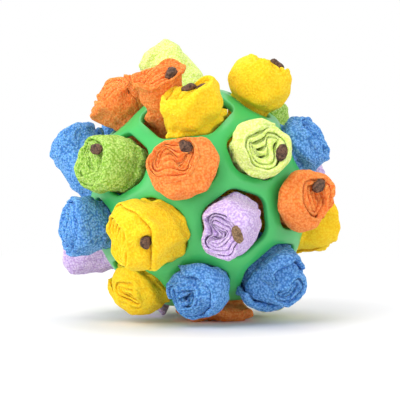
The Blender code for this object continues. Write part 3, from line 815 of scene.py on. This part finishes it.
def strip_levels(roll, rows, faces, pleats, recess, ball_tree):
    """The strip's outer and inner points on every ring, inside the hole's limits."""
    outer, inner, full = faces
    shared = roll.side_angle is not None
    fill = SIDE_FILL_SHARE if shared else FILL_SHARE
    levels = []
    for index, row in enumerate(rows):
        shares = hole_limits(row, ball_tree, fill, shared)
        raised = smooth_step((row.from_seat - RECESS_START) / RECESS_RISE) * recess
        gathered = PLEAT_SHARE * (1 - smooth_step(row.from_seat / PLEAT_REACH))
        buried = smooth_step((len(rows) - 1 - index) / FULL_ROWS)
        ring = []
        for flat in (outer, inner * (1 - buried) + full * buried):
            flat = limited(flat * (1 + pleats * gathered)[:, None], row, shares)
            point = row.centre
            for share, axis in zip((*(flat * row.halves).T, raised), row.axes):
                point = point + np.outer(share, axis)
            ring.append(point)
        levels.append(ring)
    return np.array(levels)


def shaped_edge(levels, roll, number, folds, depths, out, start):
    """The rings cut to the strip's height, with the rim raised, and the way it faces."""
    turns = folds.turns
    kept = 1 - roll.cuff * (1 - smooth_step((turns - roll.cuff_turns) / CUFF_RAMP))
    kept = kept - TURN_STEP_SHARE * (1 + np.sin(turns * math.tau * TURN_STEP_WAVE + start))
    levels, ways = cut_short(levels, kept, out)
    rise = wave_field(RISE_WAVE, number, roll.ruffle, shape=1)(levels[-1].mean(axis=0))[:, 0]
    corner = smooth_step(turns / CORNER_TURNS)
    rise = rise * corner - CORNER_DROP * (1 - corner)
    tilt = np.cos(folds.angle - math.radians(roll.slant[0]))
    rise = rise + roll.slant[1] * (SLANT_SHARE + (1 - SLANT_SHARE) * tilt) * depths
    for level in range(1, HEAD_ROWS + 1):
        levels[-level] += ways * (rise * ((HEAD_ROWS + 1 - level) / HEAD_ROWS) ** 2)[:, None]
    return levels, ways


def fleece_roll(roll, number, holes, ball_tree, treats):
    """One strip of fleece, wound up and tucked into its hole, and its flat size."""
    aim = direction(roll.azimuth, roll.elevation)
    hole = min(holes, key=lambda h: h.frame.col[2].angle(aim))
    place = hole.frame
    if roll.side_angle is not None:
        place = place @ Matrix.Rotation(math.radians(roll.side_angle), 3, "Z")
    seat = place.col[2] * seat_of(hole)[0]
    length = HEAD_LENGTH * roll.length_share
    if roll.stands:
        length = standing_length(roll, place, hole, seat)
    stations = roll_stations(roll, place, hole, length)
    rows = roll_rows(roll, place, seat, stations)

    turns = strip_path(HEAD_RADIUS * np.max(roll.bulge_shares), roll.turn_share)
    folds = Folds(roll, number, turns)
    chance = np.random.default_rng(STRIP_SEED + number)
    *thick_starts, step_start, _ = chance.uniform(0, math.tau, 4)
    pleats = sum(np.cos(order * folds.angle + chance.uniform(0, math.tau)) / len(PLEAT_ORDERS)
                 for order in PLEAT_ORDERS) - 0.5
    outer, inner, full = strip_faces(roll, folds, thick_starts)
    depths = (outer + inner) / 2
    recess = 2 * roll.recess * stations[-1].halves.min() * smooth_step(
        (1 - depths - roll.turn_share) / RECESS_RAMP)
    faces = [folds.at(face) for face in (outer, inner, full)]
    levels = strip_levels(roll, rows, faces, pleats, recess, ball_tree)
    out = rows[0].axes[2]
    levels, ways = shaped_edge(levels, roll, number, folds, depths, rows[-1].axes[2], step_start)

    points, polygons = close_strip(
        levels, rounded_end(levels[0], -out, TAIL_RIM_STEPS)[::-1],
        rounded_end(levels[-1], ways, RIM_STEPS))
    height = (points - np.array(BALL_CENTRE)) @ out - seat.length
    weight = smooth_step((height - PILE_START) / PILE_RISE)
    for wave in (WIDE_WAVE, CREASE_WAVE):
        points = points + wave_field(wave, number)(points) * weight[:, None]
    mesh = bpy.data.meshes.new("fleece_" + roll.name)
    mesh.from_pydata(points.tolist(), [], polygons)
    points = piled(mesh, points, weight, CLUMP_HEIGHT * roll.colour.pile)
    for treat in treats:
        points = treat.kept_clear(points)
    points[:, 2] = np.maximum(points[:, 2], GROUND_GAP)
    points = off_the_rubber(points, ball_tree, weight)

    mesh.vertices.foreach_set("co", points.ravel())
    mesh.update()
    mesh.shade_smooth()
    piece = show(mesh, fleece(roll.colour))
    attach(piece, "roll_" + roll.name)
    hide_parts("roll_" + roll.name)
    roll.colour.slot
    runs = [path_length(ring[0]) for ring in levels]
    return piece, (path_length(levels.mean(axis=(1, 2))), float(np.mean(runs)))


def path_length(points):
    """How long the line through the points is."""
    return float(np.linalg.norm(np.diff(points, axis=0), axis=1).sum())


def cut_short(levels, kept, out):
    """The rings with every column cut to its own share, and the way that the edge faces."""
    count = len(levels)
    place = np.outer(np.arange(count), kept)
    low = np.clip(place.astype(int), 0, count - 2)
    share = (place - low)[..., None]
    columns = np.arange(levels.shape[2])
    sides = [levels[low, side, columns] * (1 - share) + levels[low + 1, side, columns] * share
             for side in (0, 1)]
    levels = np.stack(sides, axis=1)
    middle = levels[-2:].mean(axis=1)
    along = middle[1] - middle[0]
    short = smooth_step((1 - kept) / CUT_RAMP)[:, None]
    ways = out * (1 - short) + along / lengths(along) * short
    return levels, ways / lengths(ways)


def piled(mesh, points, weight, height):
    """The cloth with the clumps of its pile standing out and creases between them."""
    normals = np.empty(len(points) * 3, np.float32)
    mesh.vertex_normals.foreach_get("vector", normals)
    lumps = np.zeros(len(points))
    for i in np.flatnonzero(weight > LEAST_WEIGHT):
        near = noise.voronoi(Vector(points[i]) / CLUMP_SIZE)[0]
        lumps[i] = CLUMP_CREST - CLUMP_FALL * near[0] ** 2
    return points + normals.reshape(-1, 3) * (lumps * weight * height)[:, None]


def rounded_end(ring, out, steps):
    """The rows round the strip's edge, from its outer face over to its inner one."""
    outer, inner = ring
    middle = (outer + inner) / 2
    half = (outer - inner) / 2
    height = lengths(half) * RIM_HEIGHT_SHARE
    rows = []
    for step in range(1, steps):
        turn = math.pi * step / steps
        rows.append(middle + half * math.cos(turn) + height * math.sin(turn) * out)
    return rows


def close_strip(levels, tail_rows, rim_rows):
    """Points and faces of the closed strip: up its outer face, and down its inner one."""
    loop = [ring[0] for ring in levels] + rim_rows
    loop += [ring[1] for ring in reversed(levels)] + tail_rows
    points = np.concatenate(loop)
    index = np.arange(len(points)).reshape(len(loop), -1)
    after = np.roll(index, -1, axis=0)
    quads = np.stack((index[:, :-1], index[:, 1:], after[:, 1:], after[:, :-1]), axis=-1)
    ends = [index[:, 0].tolist(), index[::-1, -1].tolist()]
    return points, quads.reshape(-1, 4).tolist() + ends


def off_the_rubber(points, ball_tree, weight):
    """Moves points that would touch the rubber back into the gap."""
    for i in np.flatnonzero(weight < FREE_WEIGHT):
        place, normal, _, distance = ball_tree.find_nearest(Vector(points[i]))
        if place is None or distance > RUBBER_REACH:
            continue
        if (Vector(points[i]) - place).dot(normal) < SEAT_GAP:
            points[i] = np.array(place + normal * SEAT_GAP)
    return points


# Treats
@dataclass
class Treat:
    """A treat: its centre, and its axes with their half lengths. The last axis points out."""

    name: str
    centre: np.ndarray
    axes: np.ndarray
    halves: np.ndarray

    def kept_clear(self, points):
        """Points of cloth pushed off the treat: down or sideways, never out over it."""
        size = self.halves + TREAT_CLEAR
        local = (points - self.centre) @ self.axes.T / size
        inside = np.linalg.norm(local, axis=1) < 1
        local = local[inside]
        height = local[:, 2:]
        flat = local * (1, 1, 0)
        level = np.sqrt(1 - np.clip(height, 0.0, 1.0) ** 2)
        aside = flat / np.maximum(lengths(flat), LEAST_LENGTH) * level
        aside[:, 2:] = height
        grown = local / np.maximum(lengths(local), LEAST_LENGTH)
        points = points.copy()
        points[inside] = self.centre + (np.where(height > 0, aside, grown) * size) @ self.axes
        return points


def treats_from_cad():
    """Every roll's treats as in the CAD, but moved a little to suit the folds."""
    joints = {joint["child"]: joint for joint in frame["joints"]}
    treats = {}
    for name, node in sorted(frame["nodes"].items()):
        kind, _, own = name.partition("_")
        if kind != "kibble":
            continue
        points = np.array([v.co for v in node.data.vertices])
        centre = (points.max(axis=0) + points.min(axis=0)) / 2
        _, _, axes = np.linalg.svd(points - points.mean(axis=0))
        halves = np.abs((points - centre) @ axes.T).max(axis=0)
        out = np.array(joints[name]["axis"])
        axes[2] *= np.sign(axes[2] @ out)
        turn = Matrix.Rotation(math.radians(OWN_TURNS.get(own, 0.0)), 3, Vector(out))
        centre = centre - out * OWN_SINKS.get(own, TREAT_SINK)
        centre = centre + OWN_SHIFTS.get(own, (0.0, 0.0, 0.0))
        treat = Treat(name, centre, axes @ np.array(turn).T, halves)
        treats.setdefault(joints[name]["parent"], []).append(treat)
    return treats


def treat_piece(treat, number):
    """A dry treat: a lumpy, porous lozenge."""
    builder = bmesh.new()
    bmesh.ops.create_icosphere(builder, subdivisions=4, radius=1.0)
    mesh = mesh_of(builder, "treat_" + treat.name)
    unit = np.array([v.co for v in mesh.vertices])
    points = treat.centre + (unit * treat.halves) @ treat.axes
    for wave in TREAT_LUMPS:
        points = points + wave_field(wave, number)(points)
    mesh.vertices.foreach_set("co", points.ravel())
    mesh.update()
    piece = show(mesh, kibble(treat.name in TAN_TREATS))
    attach(piece, treat.name)
    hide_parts(treat.name)


# Materials
def new_node(tree, kind, inputs=(), **settings):
    """A new node of a tree with its settings, values and links."""
    node = tree.nodes.new(kind)
    for key, value in settings.items():
        setattr(node, key, value)
    for key, value in dict(inputs).items():
        if isinstance(value, bpy.types.NodeSocket):
            tree.links.new(value, node.inputs[key])
        else:
            node.inputs[key].default_value = value
    return node


class Nodes:
    """Shorthand for building one material's nodes."""

    def __init__(self, name, values):
        self.material = bpy.data.materials.new(name)
        self.material.use_nodes = True
        self.tree = self.material.node_tree
        self.node = partial(new_node, self.tree)
        self.shader = self.tree.nodes["Principled BSDF"]
        for key, value in values.items():
            self.shader.inputs[key].default_value = value
        self.place = self.node("ShaderNodeTexCoord").outputs["Object"]

    def noise(self, size, detail, roughness=0.5):
        """Soft noise with lumps of the given size in metres."""
        inputs = {"Vector": self.place, "Scale": 1 / size, "Detail": detail,
                  "Roughness": roughness}
        return self.node("ShaderNodeTexNoise", inputs).outputs["Fac"]

    def ramp(self, factor, stops, colours):
        """A colour that follows a factor from one stop's colour to the other's."""
        node = self.node("ShaderNodeValToRGB", {"Fac": factor})
        for element, stop, colour in zip(node.color_ramp.elements, stops, colours):
            element.position = stop
            element.color = (*colour, 1.0)
        return node.outputs["Color"]

    def math(self, operation, a, b):
        """Two values put together."""
        return self.node("ShaderNodeMath", {0: a, 1: b}, operation=operation).outputs[0]

    def colour(self, value):
        """Links the base colour."""
        self.tree.links.new(value, self.shader.inputs["Base Color"])

    def bump(self, height, distance, strength=1.0):
        """Links a bump of the given depth in metres."""
        inputs = {"Height": height, "Distance": distance, "Strength": strength}
        node = self.node("ShaderNodeBump", inputs)
        self.tree.links.new(node.outputs["Normal"], self.shader.inputs["Normal"])


@cache
def fleece(kind):
    """Short fluffy pile: painted shade between the clumps, a painted highlight on their tips, and a
    soft sheen.
    """
    nodes = Nodes("piled_" + kind.slot, FLEECE_SHADER | {"Subsurface Radius": kind.tip})
    loops = nodes.node("ShaderNodeTexVoronoi", {"Vector": nodes.place, "Scale": 1 / LOOP_SIZE})
    loops = nodes.math("SUBTRACT", 1.0, loops.outputs["Distance"])
    fibres = nodes.noise(*FIBRES)
    patches = nodes.noise(*PATCHES)
    pile = nodes.math("ADD", nodes.math("MULTIPLY", loops, 0.5),
                      nodes.math("MULTIPLY", fibres, 0.5))
    # The pile pattern that makes the bump also paints shade into its gaps and a highlight onto its
    # tips
    spread = TIP_SPREAD / (LEAST_PILE + kind.pile)
    shaded_pile = nodes.ramp(pile, (0.5 - spread, 0.5 + spread), (kind.deep, kind.tip))
    worn = nodes.ramp(patches, SOFT_STOPS, WORN)
    both = nodes.node("ShaderNodeMix", {0: 1.0, 6: shaded_pile, 7: worn}, data_type="RGBA",
                      blend_type="MULTIPLY")
    nodes.colour(both.outputs[2])
    nodes.bump(pile, PILE_BUMP * kind.pile)
    return nodes.material


def rubber():
    """Moulded rubber with a soft gloss, faint flow marks and a fine grain."""
    nodes = Nodes("moulded_green", RUBBER_SHADER)
    flow = nodes.noise(*FLOW_MARKS)
    grain = nodes.noise(*RUBBER_GRAIN)
    deep = [c * FLOW_SHARE for c in GREEN_RUBBER]
    nodes.colour(nodes.ramp(flow, SOFT_STOPS, (deep, GREEN_RUBBER)))
    nodes.bump(nodes.math("ADD", flow, nodes.math("MULTIPLY", grain, GRAIN_SHARE)), *RUBBER_BUMP)
    return nodes.material


@cache
def kibble(tan):
    """Baked dry feed: brown or tan, porous and speckled."""
    nodes = Nodes("baked_tan" if tan else "baked_brown", TREAT_SHADER)
    speck = nodes.noise(*SPECKS)
    nodes.colour(nodes.ramp(speck, SPECK_STOPS, TAN_KIBBLE if tan else BROWN_KIBBLE))
    nodes.bump(speck, TREAT_BUMP)
    return nodes.material


def mesh_of(builder, name):
    """What was built, as a smooth mesh."""
    mesh = bpy.data.meshes.new(name)
    builder.to_mesh(mesh)
    builder.free()
    mesh.shade_smooth()
    return mesh


def show(mesh, material):
    """A mesh as an object with its material."""
    mesh.materials.append(material)
    return placed(mesh.name, mesh)


def placed(name, data):
    """A new object in the scene."""
    piece = bpy.data.objects.new(name, data)
    bpy.context.scene.collection.objects.link(piece)
    return piece


# The studio
def backdrop():
    """A pale floor that curves up behind the ball."""
    profile = [(FLOOR_FRONT, 0.0), (CURVE_START, 0.0)]
    for step in range(1, CURVE_STEPS + 1):
        turn = math.radians(90 * step / CURVE_STEPS)
        profile.append((CURVE_START + CURVE_RADIUS * math.sin(turn),
                        CURVE_RADIUS * (1 - math.cos(turn))))
    profile.append((CURVE_START + CURVE_RADIUS, BACKDROP_HEIGHT))
    builder = bmesh.new()
    rows = [[builder.verts.new((x, y, z)) for x in (-BACKDROP_SIDE, BACKDROP_SIDE)]
            for y, z in profile]
    for (a, b), (c, d) in zip(rows, rows[1:]):
        builder.faces.new((a, b, d, c))
    nodes = Nodes("backdrop", BACKDROP_SHADER)
    whiten(nodes)
    floor = show(mesh_of(builder, "backdrop"), nodes.material)


def whiten(nodes):
    """Makes the floor and the backdrop look white far from the ball."""
    path = nodes.node("ShaderNodeLightPath")
    seen = nodes.math("MAXIMUM", path.outputs["Is Camera Ray"], path.outputs["Is Glossy Ray"])
    away = nodes.node("ShaderNodeVectorMath", {0: nodes.place}, operation="LENGTH")
    far = nodes.node("ShaderNodeMapRange", {"Value": away.outputs["Value"], "From Min": WHITE_FROM,
                                            "From Max": WHITE_TO}, interpolation_type="SMOOTHSTEP")
    white = nodes.node("ShaderNodeEmission", {"Color": WHITE, "Strength": 1.0})
    share = nodes.math("MULTIPLY", seen, far.outputs[0])
    mixed = nodes.node("ShaderNodeMixShader",
                       {0: share, 1: nodes.shader.outputs[0], 2: white.outputs[0]})
    nodes.tree.links.new(mixed.outputs[0], nodes.tree.nodes["Material Output"].inputs["Surface"])


def sky():
    """Even light from all round, and white to the camera."""
    world = bpy.data.worlds.new("studio")
    bpy.context.scene.world = world
    world.use_nodes = True
    tree = world.node_tree
    background = tree.nodes["Background"]
    background.inputs["Color"].default_value = WHITE
    path = new_node(tree, "ShaderNodeLightPath")
    strength = new_node(tree, "ShaderNodeMapRange",
                        {"Value": path.outputs["Is Camera Ray"], "To Min": WORLD_STRENGTH})
    tree.links.new(strength.outputs["Result"], background.inputs["Strength"])


def lamp(name, place, power):
    """A soft square lamp aimed at the ball."""
    light = bpy.data.lights.new(name, "AREA")
    light.size = LAMP_SIZE
    light.energy = power
    piece = placed(name, light)
    piece.location = BALL_CENTRE + Vector(place)
    aim = BALL_CENTRE - piece.location
    piece.rotation_euler = aim.to_track_quat("-Z", "Y").to_euler()


def camera():
    """The photograph's view, level and from the front."""
    view = bpy.data.cameras.new("camera")
    view.sensor_width = SENSOR
    view.lens = SENSOR * CAMERA_DISTANCE / (PHOTO_WIDTH / BALL_PIXELS * BALL_RADIUS)
    piece = placed("camera", view)
    piece.location = BALL_CENTRE + Vector((0.0, -CAMERA_DISTANCE, -CAMERA_DROP))
    piece.rotation_euler = (math.radians(90), 0.0, 0.0)
    bpy.context.scene.camera = piece
    bpy.context.scene.view_settings.view_transform = "Standard"


def main():
    """Builds every piece on the frame."""
    holes = [hole_in(cell) for cell in lattice_cells()]
    ball = lattice_ball(holes)
    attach(ball, "ball")
    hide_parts("rubber_ball")
    ball_tree = BVHTree.FromPolygons([v.co for v in ball.data.vertices],
                                     [tuple(p.vertices) for p in ball.data.polygons])
    treats = treats_from_cad()
    for number, roll in enumerate(ROLLS):
        own = treats.get("roll_" + roll.name, [])
        piece, flat = fleece_roll(roll, number, holes, ball_tree, own)
    for number, treat in enumerate(t for own in treats.values() for t in own):
        treat_piece(treat, number)
    backdrop()
    sky()
    for name, (place, power) in LAMPS.items():
        lamp(name, place, power)
    camera()


main()
